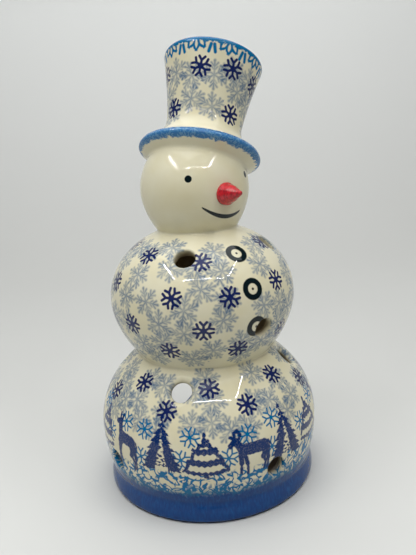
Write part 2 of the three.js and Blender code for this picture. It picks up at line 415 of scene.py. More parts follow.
class Canvas:
    """The shell's faces: their corners, and which of them the stamps may cover."""

    def __init__(self, mesh):
        self.mesh = mesh
        points = mesh_points(mesh) / MM
        sides = len(mesh.polygons[0].vertices)
        corners = np.empty(len(mesh.loops), dtype=np.int32)
        mesh.loops.foreach_get("vertex_index", corners)
        self.corners = points[corners.reshape(-1, sides)]
        self.centres = self.corners.mean(axis=1)
        self.bearing = np.arctan2(self.corners[..., 0], -self.corners[..., 1])
        normals = np.empty(len(mesh.polygons) * 3)
        mesh.polygons.foreach_get("normal", normals)
        self.normals = normals.reshape(-1, 3)
        depth = outside_distance(self.centres)
        height = self.centres[:, 2]
        in_flare = (height > FLARE_BOTTOM) & (height < FLARE_TOP) & (depth > -FLARE_PAINT_DEPTH)
        self.painted = (depth > -PAINT_DEPTH) | in_flare

    def empty_layer(self):
        return np.full(self.corners.shape, FAR_AWAY)

    def near(self, place, normal, reach):
        close = np.linalg.norm(self.centres - place, axis=1) < reach
        return self.painted & close & (self.normals @ normal > FACING)

    def keep(self, name, layer):
        attribute = self.mesh.attributes.new(name, "FLOAT_VECTOR", "CORNER")
        attribute.data.foreach_set("vector", layer.ravel())


def ball_frame(ball, angle, z):
    place, normal = surface_place(ball, angle, z)
    turn = math.radians(angle)
    right = np.array([math.cos(turn), math.sin(turn), 0])
    return place, normal, right


ACROSS_THE_HAT = np.array([0, -1.0, 0]) + HAT_AXIS[1] * HAT_AXIS
HAT_FRONT = ACROSS_THE_HAT / np.linalg.norm(ACROSS_THE_HAT)
HAT_SIDE = np.cross(HAT_AXIS, HAT_FRONT)


def hat_frame(angle, height):
    turn = math.radians(angle)
    normal = HAT_FRONT * math.cos(turn) + HAT_SIDE * math.sin(turn)
    right = HAT_SIDE * math.cos(turn) - HAT_FRONT * math.sin(turn)
    radius = float(crown_radius(np.array(height)))
    return HAT_POINT + HAT_AXIS * height + normal * radius, normal, right


def framed(x, y, kind):
    return np.stack([x, y, np.full_like(x, kind)], axis=-1)


def press(canvas, layer, at, size, kind, turn=0.0):
    """Stamps one flat motif of a given radius onto the faces round its place."""
    place, normal, right = at
    up = np.cross(normal, right)
    near = canvas.near(place, normal, STAMP_SPREAD * size + STAMP_MARGIN)
    offset = canvas.corners[near] - place
    x = offset @ right / size
    y = offset @ up / size
    c, s = math.cos(turn), math.sin(turn)
    layer[near] = framed(x * c + y * s, y * c - x * s, kind)


# Half the room of a motif of the row, half the room at its foot, and how high its foot reaches
DEER_ROOM = (10.4, 9.0, 11)
FIR_ROOM = (5.5, 10.5, 12)
SCENERY_HEIGHT = 24
SCENERY_BELOW = 60


def wrap_round(canvas, layer, angle, z, room, kind):
    """Lays a tall motif round the base ball; its frame is in millimetres from its foot."""
    half_width, foot_half_width, foot_height = room
    half_height = SCENERY_HEIGHT / 2
    turn = (np.degrees(canvas.bearing) - angle + 180) % 360 - 180
    across = np.radians(turn) * BASE_BALL.radius_at(z + half_height)
    rise = canvas.corners[..., 2] - z
    middle_x = across.mean(axis=1)
    middle_y = rise.mean(axis=1)
    allowed = np.where(middle_y < foot_height, foot_half_width, half_width)
    near = canvas.painted & (np.abs(middle_x) < allowed) & (np.abs(middle_y - half_height) < half_height)
    near &= canvas.centres[:, 2] < SCENERY_BELOW
    layer[near] = framed(across[near], rise[near], kind)


# Where the stamps sit: angle from the face and height, read off the photograph
NAVY_RADIUS = 4.5
GREY_RADIUS = 6.3
CYAN_RADIUS = 4.4
NAVY_ON_HAT = [(-48, 34.5), (-8, 36), (35, 35), (-88, 17.5), (4, 17), (-110, 34.5)]
NAVY_ON_MIDDLE = [
    (-76, 114), (-32, 112), (33, 115), (18, 100.5), (-50, 99), (-17, 98), (-78, 86),
    (-33, 85), (24, 77), (-55, 75), (-12, 74), (-99, 102), (-114, 116),
]
NAVY_ON_BASE = [(-77, 58), (-99, 51), (-31, 58), (15, 57.5), (38, 50), (-55, 50.5), (-11, 51)]
GREY_ON_HAT = [(-83, 33), (-30, 31.5), (-57, 20.5), (-26, 18), (7, 27.5)]
GREY_ON_MIDDLE = [
    (-77, 107), (-83, 98), (-66, 97), (-58, 88), (-43, 94), (-44, 84), (-33, 102), (-22, 89),
    (-21, 115), (-57, 117), (-53, 110), (-19, 108), (19, 115), (10, 108), (17, 91), (-28, 75), (-94, 116),
]
CYAN_ON_BASE = [
    (-79, 43), (-66, 42.5), (-42, 41.5), (-14.5, 40.5), (0, 44), (19, 36.5), (-46.5, 32),
    (-24.5, 32), (-67.5, 30.5), (-2.5, 32.5), (36, 42), (-104, 46),
]
SCENERY = [
    ("snowy_fir", -98, 25.5), ("snowy_fir", 27.5, 24.5), ("scribble_fir", -56.5, 26.0),
    ("scribble_fir", 6.5, 24.6), ("snowy_fir", -35, 23.3),
    ("deer_up", -79, 21.5), ("deer_round", -13.5, 23.0),
]
SCENERY_BEHIND = [
    ("deer_up", 49), ("scribble_fir", 70), ("snowy_fir", 91), ("deer_round", 112),
    ("scribble_fir", 133), ("deer_up", -117), ("scribble_fir", -137),
]
SCENERY_BEHIND_Z = 24.0

# The third number in a frame, which says what is drawn there; the face has a layer of its own
KINDS = {"scribble_fir": 1, "snowy_fir": 2, "deer_up": 3, "deer_round": 4, "eye": 1, "button": 2}


def too_near(place, others, gap):
    if not others:
        return False
    return bool((np.linalg.norm(np.array(others) - place, axis=1) < gap).any())


def scatter(rng, frame_at, taken, keep_off, heights, spacing, tries, gap_off):
    """Fills the room that the listed stamps leave, all round, with others of the same kind."""
    places = [frame_at(angle, z)[0] for angle, z in taken]
    added = []
    for _ in range(tries):
        angle = rng.uniform(-180, 180)
        z = rng.uniform(*heights)
        place = frame_at(angle, z)[0]
        if too_near(place, places, spacing) or too_near(place, keep_off, gap_off):
            continue
        places.append(place)
        added.append((angle, z))
    return taken + added


def hole_places():
    places = []
    for ball, z, angles, _ in HOLE_ROWS:
        places += [surface_place(ball, angle, z)[0] for angle in angles]
    return places


BUTTONS = [(-3.6, 113.5), (-2.2, 99.7), (-1.6, 83.4)]
BUTTON_SIZE = 5.0
EYES = [(-38, 145.3), (36, 144.8)]
EYE_SIZE = 2.0
SMILE_Z = 128.2
SMILE_RADIUS = 22.5
SMILE_REACH = 0.7
SMILE_ROOM = 8

SEED = 11
SIXTH_OF_A_TURN = 1.05
GREY_LAYERS = 3
NAVY_GAP = 14.5
NAVY_OFF_HOLES = 10
NAVY_TRIES = 900
GREY_APART = 2.15 * GREY_RADIUS
GREY_OFF_BUTTONS = 8.5
GREY_TRIES = 2500
CYAN_HEIGHTS = (29, 45)
CYAN_GAP = 12.5
CYAN_OFF_HOLES = 9
CYAN_TRIES = 700


def on_base(angle, z):
    return ball_frame(BASE_BALL, angle, z)


def on_middle(angle, z):
    return ball_frame(MIDDLE_BALL, angle, z)


def door_places():
    """Points spread over the door, for the flakes to keep clear of."""
    return [np.array([x, 45.0, z]) for x in (-16, 0, 16) for z in (14, 32, 50)]


def stamp_flake(canvas, layer, at, radius, rng):
    """Stamps a flake at a random turn; the third value of its frame is a random number too."""
    press(canvas, layer, at, radius, rng.random(), rng.uniform(0, SIXTH_OF_A_TURN))


def stamp_navy_and_grey(canvas, rng):
    """Navy flakes that keep apart, and grey ones that overlap, so each goes in the first free layer."""
    holes = hole_places()
    buttons = [on_middle(angle, z)[0] for angle, z in BUTTONS]
    zones = [
        (hat_frame, NAVY_ON_HAT, GREY_ON_HAT, (15.5, 36), (14, 35), 8.4, []),
        (on_middle, NAVY_ON_MIDDLE, GREY_ON_MIDDLE, (72, 116), (70, 117), 8.2, buttons),
        (on_base, NAVY_ON_BASE, [], (47, 59), (42, 61), 7.6, door_places()),
    ]
    navy = canvas.empty_layer()
    grey_layers = [canvas.empty_layer() for _ in range(GREY_LAYERS)]
    grey_places = [[] for _ in range(GREY_LAYERS)]
    for frame_at, navy_listed, grey_listed, navy_heights, grey_heights, grey_gap, keep_off in zones:
        navy_at = scatter(
            rng, frame_at, navy_listed, keep_off + holes, navy_heights, NAVY_GAP, NAVY_TRIES, NAVY_OFF_HOLES)
        for angle, z in navy_at:
            stamp_flake(canvas, navy, frame_at(angle, z), NAVY_RADIUS, rng)
        grey_at = scatter(
            rng, frame_at, grey_listed, buttons, grey_heights, grey_gap, GREY_TRIES, GREY_OFF_BUTTONS)
        for angle, z in grey_at:
            at = frame_at(angle, z)
            for layer, places in zip(grey_layers, grey_places):
                if not too_near(at[0], places, GREY_APART):
                    stamp_flake(canvas, layer, at, GREY_RADIUS, rng)
                    places.append(at[0])
                    break
    canvas.keep("navy", navy)
    for index, layer in enumerate(grey_layers):
        canvas.keep(f"grey_{index}", layer)


def stamp_cyan(canvas, rng):
    cyan = canvas.empty_layer()
    keep_off = door_places() + hole_places()
    cyan_at = scatter(
        rng, on_base, CYAN_ON_BASE, keep_off, CYAN_HEIGHTS, CYAN_GAP, CYAN_TRIES, CYAN_OFF_HOLES)
    for angle, z in cyan_at:
        stamp_flake(canvas, cyan, on_base(angle, z), CYAN_RADIUS, rng)
    canvas.keep("cyan", cyan)


def stamp_scenery(canvas):
    """The row of deer and firs round the base; of two that meet, the later one shows."""
    layer = canvas.empty_layer()
    behind = [(name, angle, SCENERY_BEHIND_Z) for name, angle in SCENERY_BEHIND]
    for name, angle, z in behind + SCENERY:
        room = DEER_ROOM if name.startswith("deer") else FIR_ROOM
        wrap_round(canvas, layer, angle, z, room, KINDS[name])
    canvas.keep("scenery", layer)


def paint_face(canvas):
    face = canvas.empty_layer()
    for angle, z in BUTTONS:
        press(canvas, face, on_middle(angle, z), BUTTON_SIZE, KINDS["button"])
    for angle, z in EYES:
        press(canvas, face, ball_frame(HEAD_BALL, angle, z), EYE_SIZE, KINDS["eye"])
    canvas.keep("face", face)

    layer = canvas.empty_layer()
    rise = canvas.corners[..., 2] - SMILE_Z
    near = np.abs(canvas.bearing.mean(axis=1)) < SMILE_REACH
    near &= (np.abs(rise.mean(axis=1)) < SMILE_ROOM) & canvas.painted
    layer[near] = framed(canvas.bearing[near] * SMILE_RADIUS, rise[near], 0)
    canvas.keep("smile", layer)


def lay_out_lace(canvas):
    """Bearing in degrees and height along the hat, without a jump inside a face."""
    layer = canvas.empty_layer()
    offset = canvas.corners - HAT_POINT
    height = offset @ HAT_AXIS
    bearing = np.degrees(np.arctan2(offset @ HAT_SIDE, offset @ HAT_FRONT))
    first = bearing[:, :1]
    bearing = first + (bearing - first + 180) % 360 - 180
    near = (height.mean(axis=1) > BAND_FROM) & canvas.painted
    layer[near] = framed(bearing[near], height[near], 0)
    canvas.keep("hat_band", layer)


def mark_zones(mesh):
    """Keeps at each point how far inside the sponged brim it is, its height and its depth in the wall."""
    points = mesh_points(mesh) / MM
    depth = np.clip(-outside_distance(points) / WALL, 0, 1)
    lift, spread = along_and_across(points, BRIM_POINT, BRIM_AXIS)
    on_brim = np.minimum(lift + RIM_SPONGE_BELOW, spread - RIM_SPONGE_INWARD)
    on_brim = np.where(brim_distance(points) < RIM_SPONGE_DEPTH, on_brim, -FAR_AWAY)
    zones = mesh.attributes.new("zones", "FLOAT_VECTOR", "POINT")
    zones.data.foreach_set("vector", np.stack([on_brim, points[:, 2], depth], axis=-1).ravel())


def decorate(mesh):
    canvas = Canvas(mesh)
    rng = random.Random(SEED)
    stamp_navy_and_grey(canvas, rng)
    stamp_cyan(canvas, rng)
    stamp_scenery(canvas)
    paint_face(canvas)
    lay_out_lace(canvas)
    mark_zones(mesh)


# Node trees written as formulas
class Number:
    def __init__(self, tree, socket):
        self.tree = tree
        self.socket = socket

    def math(self, operation, *others):
        node = self.tree.nodes.new("ShaderNodeMath")
        node.operation = operation
        for socket, value in zip(node.inputs, (self,) + others):
            plug(self.tree, value, socket)
        return Number(self.tree, node.outputs[0])

    def __add__(self, other):
        return self.math("ADD", other)

    def __sub__(self, other):
        return self.math("SUBTRACT", other)

    def __mul__(self, other):
        return self.math("MULTIPLY", other)

    def __truediv__(self, other):
        return self.math("DIVIDE", other)

    def over(self, other):
        return self.math("GREATER_THAN", other)

    def under(self, other):
        return self.math("LESS_THAN", other)

    def least(self, other):
        return self.math("MINIMUM", other)

    def most(self, other):
        return self.math("MAXIMUM", other)

    def size(self):
        return self.math("ABSOLUTE")

    def clamped(self):
        return self.most(0.0).least(1.0)

    def near_value(self, value, width):
        return self.math("COMPARE", value, width)


def plug(tree, value, socket):
    if isinstance(value, Number):
        tree.links.new(value.socket, socket)
    else:
        socket.default_value = value


def vector_node(tree, operation, *values, scale=None, output=0):
    node = tree.nodes.new("ShaderNodeVectorMath")
    node.operation = operation
    for socket, value in zip(node.inputs, values):
        plug(tree, value, socket)
    if scale is not None:
        plug(tree, scale, node.inputs["Scale"])
    return Number(tree, node.outputs[output])


def split(tree, vector):
    node = tree.nodes.new("ShaderNodeSeparateXYZ")
    tree.links.new(vector.socket, node.inputs[0])
    return [Number(tree, output) for output in node.outputs]


def combine(tree, x, y, z=0.0):
    node = tree.nodes.new("ShaderNodeCombineXYZ")
    for socket, value in zip(node.inputs, (x, y, z)):
        plug(tree, value, socket)
    return Number(tree, node.outputs[0])


def attribute(tree, name):
    node = tree.nodes.new("ShaderNodeAttribute")
    node.attribute_name = name
    return Number(tree, node.outputs["Vector"])


def noise(tree, vector, scale, detail, distortion=0.0):
    node = tree.nodes.new("ShaderNodeTexNoise")
    tree.links.new(vector.socket, node.inputs["Vector"])
    node.inputs["Scale"].default_value = scale
    node.inputs["Detail"].default_value = detail
    node.inputs["Distortion"].default_value = distortion
    return Number(tree, node.outputs["Fac"])


def blend_colours(tree, factor, under, over):
    """Mixes two colours, which a mix node takes at its sockets 6 and 7."""
    node = tree.nodes.new("ShaderNodeMix")
    node.data_type = "RGBA"
    for value, index in ((factor, 0), (under, 6), (over, 7)):
        plug(tree, value, node.inputs[index])
    return Number(tree, node.outputs[2])


def length(tree, vector):
    return vector_node(tree, "LENGTH", vector, output=1)


def segment(tree, point, start, end):
    """Distance from a flat point to a line between two fixed points."""
    run = np.array(end, float) - np.array(start, float)
    unit = tuple(run / (run @ run)) + (0.0,)
    offset = vector_node(tree, "SUBTRACT", point, tuple(start) + (0.0,))
    share = vector_node(tree, "DOT_PRODUCT", offset, unit, output=1).clamped()
    reached = vector_node(tree, "SCALE", tuple(run) + (0.0,), scale=share)
    gap = vector_node(tree, "SUBTRACT", offset, reached)
    return length(tree, gap)


def strokes(tree, point, lines):
    """Distance to a set of strokes, each a start, an end and its half width."""
    total = None
    for start, end, half_width in lines:
        gap = segment(tree, point, start, end) - half_width
        total = gap if total is None else total.least(gap)
    return total


def inked(distance, softness):
    """Coverage of a stroke from its signed distance, with a soft edge."""
    return (distance * (-1 / softness) + 0.5).clamped()


def polar(radius, degrees):
    turn = math.radians(degrees)
    return (radius * math.cos(turn), radius * math.sin(turn))


def folded_in_six(tree, layer):
    """One of the twelve equal wedges of a flake: 0 degrees between arms, 30 on an arm."""
    x, y, _ = split(tree, layer)
    radius = length(tree, combine(tree, x, y))
    angle = y.math("ARCTAN2", x)
    wedge = (angle.math("FLOORED_MODULO", math.pi / 3) - math.pi / 6).size()
    return combine(tree, radius * wedge.math("COSINE"), radius * wedge.math("SINE"))


# Stamp and brush motifs; each returns how much of its ink covers the clay
def beside_arm(along, across):
    """A point of a folded flake, measured along an arm and across from it."""
    return polar(math.hypot(along, across), 30 - math.degrees(math.atan2(across, along)))


FLAKE_CORE = polar(0.02, 30)
FLAKE_CORE_WIDTH = 2.3
FORK_TIP = polar(0.94, 11.5)
GREY_SOFTNESS = 0.13


def plain_flake(tree, layer, half_width, fork, softness):
    """A snowflake with a round core, whose six arms each fork in two halfway out."""
    centre = (0, 0)
    knee = polar(fork, 30)
    lines = [
        (centre, FLAKE_CORE, FLAKE_CORE_WIDTH * half_width),
        (centre, knee, half_width),
        (knee, FORK_TIP, half_width),
    ]
    return inked(strokes(tree, folded_in_six(tree, layer), lines), softness)


def feathery_flake(tree, layer):
    """A snowflake with two pairs of side twigs on each arm and a small knob at its end."""
    lines = [
        (beside_arm(0.05, 0), beside_arm(0.84, 0), 0.072),
        (beside_arm(0.30, 0), beside_arm(0.53, 0.20), 0.066),
        (beside_arm(0.53, 0), beside_arm(0.80, 0.24), 0.066),
        (beside_arm(0.90, 0), beside_arm(0.95, 0), 0.09),
    ]
    return inked(strokes(tree, folded_in_six(tree, layer), lines), GREY_SOFTNESS)


def of_kind(kind, name):
    return kind.near_value(KINDS[name], 0.5)


FIR_HEIGHT = 20.5
FIR_HALF_WIDTH = 8.6
FIR_TIP_HALF_WIDTH = 0.3
FIR_TAPER = 0.85
TWIG_PITCH = 3.1
TWIG_LENGTH = 1.7
FIR_FRAY = 2.6
OPEN_SHARE = 0.36
NOTCH_HALF_WIDTH = 3.0
NOTCH_TOP = 2.6


def scribble_fir(tree, x, y, fray):
    """Two ragged dark sides that meet in a point, with a loose scatter of needles between."""
    side = x.size()
    share = (y * (1 / FIR_HEIGHT)).clamped()
    edge = (share * -1.0 + 1.0).math("POWER", FIR_TAPER) * FIR_HALF_WIDTH + FIR_TIP_HALF_WIDTH
    twigs = (y * (1 / TWIG_PITCH)).math("FRACT") * -TWIG_LENGTH + 1.0
    ragged = edge + twigs + (fray - 0.5) * FIR_FRAY
    outside = side - ragged
    inner = ragged * OPEN_SHARE - 0.8
    needles = noise(tree, combine(tree, x * 0.7, y), 0.8, 0.0)
    open_middle = inked(side - inner, 0.5) * inked(needles * -1.0 + 0.46, 0.08)
    below = y.under(-1.0)
    notch = (side - NOTCH_HALF_WIDTH).under(0) * (y - NOTCH_TOP + fray).under(0)
    body = inked(outside, 0.5)
    return (body - open_middle.most(below.most(notch))).clamped()


SNOWY_FIR_SIDE = [
    ((0.0, 18.9), (0.0, 19.0), 0.9),
    ((0.0, 17.2), (0.7, 16.6), 1.0),
    ((0.0, 15.4), (2.0, 14.9), 1.05),
    ((2.0, 14.8), (3.6, 13.0), 0.7),
    ((0.0, 12.2), (4.6, 12.6), 1.35),
    ((4.6, 12.2), (6.2, 8.8), 0.75),
    ((0.0, 7.0), (6.6, 8.0), 1.4),
    ((6.6, 7.6), (9.2, 4.1), 0.75),
    ((0.0, 2.2), (4.6, 2.7), 0.8),
    ((4.6, 2.7), (9.2, 3.9), 0.9),
    ((0.0, 2.2), (0.0, 0.7), 1.2),
]
DEER_ROUND = [
    ((-3.4, 11.4), (6.0, 11.6), 2.6),
    ((-4.0, 11.2), (-3.8, 9.6), 1.9),
    ((5.8, 11.4), (6.9, 9.6), 2.2),
    ((-4.4, 12.4), (-6.6, 15.4), 1.7),
    ((-7.0, 15.6), (-8.9, 13.9), 1.15),
    ((-7.2, 16.6), (-8.6, 17.4), 0.7),
    ((-6.8, 16.8), (-6.9, 18.9), 0.75),
    ((-6.9, 18.9), (-5.3, 19.5), 0.75),
    ((-5.3, 19.5), (-4.2, 18.0), 0.7),
    ((-4.2, 18.0), (-5.0, 16.2), 0.65),
    ((-4.7, 9.6), (-4.6, 5.6), 1.1),
    ((-4.6, 5.6), (-4.9, 0.6), 0.65),
    ((-3.1, 9.6), (-2.0, 5.2), 0.95),
    ((-2.0, 5.2), (-1.8, 0.5), 0.6),
    ((6.8, 9.8), (5.4, 6.6), 1.35),
    ((5.4, 6.6), (6.6, 4.0), 0.75),
    ((6.6, 4.0), (5.4, 0.4), 0.6),
    ((7.5, 9.8), (7.7, 5.0), 0.95),
    ((7.7, 5.0), (7.1, 0.8), 0.6),
    ((8.3, 12.8), (9.3, 11.0), 0.55),
]
DEER_UP = [
    ((-1.6, 14.4), (4.6, 13.4), 2.6),
    ((-2.4, 14.2), (-2.6, 12.2), 1.9),
    ((4.8, 13.0), (5.8, 10.8), 2.2),
    ((-2.9, 15.6), (-3.9, 20.0), 1.5),
    ((-4.2, 20.7), (-6.2, 20.1), 1.15),
    ((-4.6, 21.6), (-5.0, 23.6), 0.6),
    ((-3.1, 21.4), (-2.8, 23.6), 0.6),
    ((-3.2, 12.2), (-3.4, 7.2), 0.95),
    ((-3.4, 7.2), (-4.0, 0.9), 0.6),
    ((-1.8, 12.2), (-3.0, 8.0), 0.85),
    ((-3.0, 8.0), (-2.2, 2.4), 0.55),
    ((5.8, 10.8), (4.8, 7.4), 1.35),
    ((4.8, 7.4), (6.4, 4.6), 0.75),
    ((6.4, 4.6), (5.8, 0.5), 0.6),
    ((6.8, 10.8), (7.3, 6.6), 1.0),
    ((7.3, 6.6), (7.1, 1.6), 0.6),
    ((7.3, 13.8), (8.1, 12.0), 0.5),
]


STAMP_SOFTNESS = 0.4
STAMP_WOBBLE = 0.7
SCALLOPS = 2.6
SCALLOP_DEPTH = 0.25


def scenery(tree, layer):
    x, y, kind = split(tree, layer)
    fray = noise(tree, combine(tree, x, y, kind), 0.8, 2.0)
    wobble = (fray - 0.5) * STAMP_WOBBLE
    flat = combine(tree, x, y)
    mirrored = combine(tree, x.size(), y)
    scalloped = (x * SCALLOPS).math("SINE") * SCALLOP_DEPTH + wobble * 1.2

    def stamped(name, point, lines, edge):
        return inked(strokes(tree, point, lines) + edge, STAMP_SOFTNESS) * of_kind(kind, name)

    snowy = stamped("snowy_fir", mirrored, SNOWY_FIR_SIDE, scalloped)
    scribbled = scribble_fir(tree, x, y, fray) * of_kind(kind, "scribble_fir")
    standing = stamped("deer_round", flat, DEER_ROUND, wobble)
    looking = stamped("deer_up", flat, DEER_UP, wobble)
    return snowy.most(scribbled).most(standing).most(looking)


EYE_RADIUS = 0.77
EYE_SOFTNESS = 0.12
RING_INNER = 0.46
RING_OUTER = 0.94
DOT_RADIUS = 0.11
RING_SOFTNESS = 0.07


def face_marks(tree, layer):
    """A round eye or a button's ring with its dot, in a frame whose unit is the stamp's size."""
    x, y, kind = split(tree, layer)
    radius = length(tree, combine(tree, x, y))
    fray = noise(tree, combine(tree, x, y, kind), 5.0, 1.0) - 0.5
    eye = inked(radius - EYE_RADIUS, EYE_SOFTNESS) * of_kind(kind, "eye")
    middle = (RING_INNER + RING_OUTER) / 2
    ring = (radius - middle + fray * 0.03).size() - (RING_OUTER - RING_INNER) / 2
    button = inked(ring.least(radius - DOT_RADIUS), RING_SOFTNESS) * of_kind(kind, "button")
    return eye.most(button)


SMILE_SLOPE = -0.189
SMILE_CURVE = 0.0307
SMILE_END = 9.6
SMILE_HALF_WIDTH = 0.92
SMILE_THINNING = 0.5
SMILE_THICKEST_AT = 0.8
SMILE_SOFTNESS = 0.16


def smile(tree, layer):
    """A curved stroke that thins towards both ends."""
    x, y, _ = split(tree, layer)
    curve = x * SMILE_SLOPE + x * x * SMILE_CURVE
    steep = x * (2 * SMILE_CURVE) + SMILE_SLOPE
    steep = (steep * steep + 1.0).math("SQRT")
    gap = (y - curve).size() / steep
    beyond = (x.size() - SMILE_END).most(0.0)
    gap = (gap * gap + beyond * beyond).math("SQRT")
    across = (x - SMILE_THICKEST_AT) * (1 / SMILE_END)
    half_width = (across * across) * -SMILE_THINNING + SMILE_HALF_WIDTH
    return inked(gap - half_width, SMILE_SOFTNESS)


# Lace round the top of the hat: fans of petals that hang from the rim, with pairs of dashes between
LACE_PITCH = 37
LACE_PHASE = 0.5
LACE_MOTIF_WIDTH = 14.9
HAT_SOLID_FROM = 44.9
PETAL_SPREAD = 0.62
PETAL_FROM = 1.6
PETAL_LENGTH = 5.0
PETAL_HALF_WIDTH = 1.35
PETAL_LINE = 0.7
FAN_RADIUS = 7.0
FAN_GAP = 1.9
DASH_TOP = (0.75, 43.8)
DASH_FOOT = (1.5, 40.8)
DASH_HALF_WIDTH = 0.75
SOLID_RAGGED = 3.4


def hat_lace(tree, layer):
    bearing, height, _ = split(tree, layer)
    cell = (bearing * (1 / LACE_PITCH) - LACE_PHASE / LACE_PITCH).math("FRACT") - 0.5
    x = cell * LACE_MOTIF_WIDTH
    grain = noise(tree, combine(tree, bearing * 0.4, height), 0.9, 2.0) - 0.5
    from_top = height * -1.0 + HAT_HEIGHT
    reach = length(tree, combine(tree, x, from_top)) + grain * 0.9
    fan = x.math("ARCTAN2", from_top)
    spoke = ((fan * (1 / PETAL_SPREAD) + 0.5).math("FRACT") - 0.5) * PETAL_SPREAD
    beside = (spoke * reach).size()
    swell = ((reach - PETAL_FROM) * (math.pi / PETAL_LENGTH)).math("SINE").most(0.0) * PETAL_HALF_WIDTH
    lace = ((beside - swell).size() - PETAL_LINE).most(reach - FAN_RADIUS)
    half = (x.size() - LACE_MOTIF_WIDTH / 2).size()
    dash = segment(tree, combine(tree, half, height), DASH_TOP, DASH_FOOT) - DASH_HALF_WIDTH
    lace = lace.most(half * -1.0 + FAN_GAP)
    solid = from_top - (HAT_HEIGHT - HAT_SOLID_FROM) + grain * SOLID_RAGGED
    ink = inked(lace.least(dash), 0.4).most(inked(solid, 0.5))
    streaks = noise(tree, combine(tree, bearing * 1.2, height * 2.0), 1.0, 3.0)
    return ink * height.over(BAND_FROM) * (streaks * 1.6 + 0.4).clamped()


def srgb(red, green, blue):
    def linear(value):
        value = value / 255
        return value / 12.92 if value <= 0.04045 else ((value + 0.055) / 1.055) ** 2.4
    return (linear(red), linear(green), linear(blue), 1.0)


CREAM = srgb(224, 219, 192)
CREAM_WARM = srgb(216, 207, 168)
NAVY = srgb(0, 24, 86)
INDIGO = srgb(0, 42, 100)
GREY_BLUE = srgb(70, 104, 138)
PALE_BLUE = srgb(104, 156, 186)
CYAN = srgb(0, 104, 154)
TEAL = srgb(24, 100, 134)
COBALT = srgb(0, 58, 120)
COBALT_LIGHT = srgb(10, 94, 162)
RIM_BLUE = srgb(0, 102, 164)
BLACK_TEAL = srgb(6, 24, 28)
# A darker tan that is painted shade for the dim inside of the shell
SHADED_INSIDE_TAN = srgb(150, 128, 92)
RASPBERRY = srgb(206, 40, 50)
RASPBERRY_DARK = srgb(128, 20, 30)

GLAZE_ROUGHNESS = 0.03
GLAZE_SPECULAR = 0.3
NOSE_ROUGHNESS = 0.12
NOSE_RELIEF = 0.3
PAPER_ROUGHNESS = 0.9
SURFACE_IOR = 1.5


def material_named(name, roughness):
    material = bpy.data.materials.new(name)
    material.use_nodes = True
    tree = material.node_tree
    shader = tree.nodes["Principled BSDF"]
    shader.inputs["Roughness"].default_value = roughness
    shader.inputs["IOR"].default_value = SURFACE_IOR
    return material, tree, shader


def object_place(tree):
    coordinates = tree.nodes.new("ShaderNodeTexCoord")
    return Number(tree, coordinates.outputs["Object"])


def place_in_mm(tree):
    return vector_node(tree, "SCALE", object_place(tree), scale=1 / MM)


def squiggles(tree, place, scale, width, seed, distortion):
    """Sponge marks: curling lines where a noise crosses its middle value, broken here and there."""
    shifted = vector_node(tree, "ADD", place, (seed, 0.0, 0.0))
    field = noise(tree, shifted, scale, 0.0, distortion)
    breaks = noise(tree, shifted, scale * 1.7, 0.0)
    line = inked((field - 0.5).size() - width, 0.035)
    return line * inked(breaks * -1.0 + 0.37, 0.08)


# Each sponge mark's scale, half width of line, shift of its noise, and how much it curls
FOOT_CURLS = [(0.23, 0.066, 0.0, 0.5), (0.29, 0.066, 31.0, 0.4)]
DENSE_CURLS = (0.3, 0.08, 57.0, 0.4)
RIM_CURLS = (0.5, 0.07, 13.0, 0.8)

# Heights below which each of the foot's sponged inks begins, and how far they wander
CURLS_BELOW = 26.0
DENSE_CURLS_BELOW = 19.0
HAZE_BELOW = 16.8
COBALT_BELOW = 14.6
BAND_DRIFT = 5.0
COBALT_RAGGED = 3.0


def foot_bands(tree, place, z, colour):
    """Cyan curls thickening downwards into a solid cobalt foot."""
    drift = noise(tree, place, 0.16, 2.0) - 0.5
    level = z + drift * BAND_DRIFT
    first, second = [squiggles(tree, place, *curl) for curl in FOOT_CURLS]
    curls = first.most(second)
    gate = inked(level - CURLS_BELOW, 1.2)
    dense = squiggles(tree, place, *DENSE_CURLS)
    dense = dense * inked(level - DENSE_CURLS_BELOW, 3.0)
    colour = blend_colours(tree, curls.most(dense) * gate, colour, CYAN)
    haze = inked(level - HAZE_BELOW, 3.4)
    colour = blend_colours(tree, haze * 0.75, colour, TEAL)
    streak = noise(tree, vector_node(tree, "MULTIPLY", place, (1.0, 1.0, 0.22)), 1.3, 2.0)
    cobalt = blend_colours(tree, ((streak - 0.42) * 2.2).clamped() * 0.55, COBALT, COBALT_LIGHT)
    solid = inked(level - COBALT_BELOW + (streak - 0.5) * COBALT_RAGGED, 2.2)
    return blend_colours(tree, solid, colour, cobalt)


# Each plain flake's half width of stroke, where its arms fork, and how soft its edge is
NAVY_FLAKE = (0.128, 0.55, 0.06)
CYAN_FLAKE = (0.085, 0.52, 0.07)

# How much of each ink covers what lies under it, and how deep in the wall the painted shade of the dim
# inside begins
GREY_STRENGTH = 0.8
NAVY_STRENGTH = 0.98
SPONGE_STRENGTH = 0.95
SPONGE_FRAY = 2.6
INSIDE_SHADE_FROM = 0.35
INSIDE_SHADE_STRENGTH = 0.7


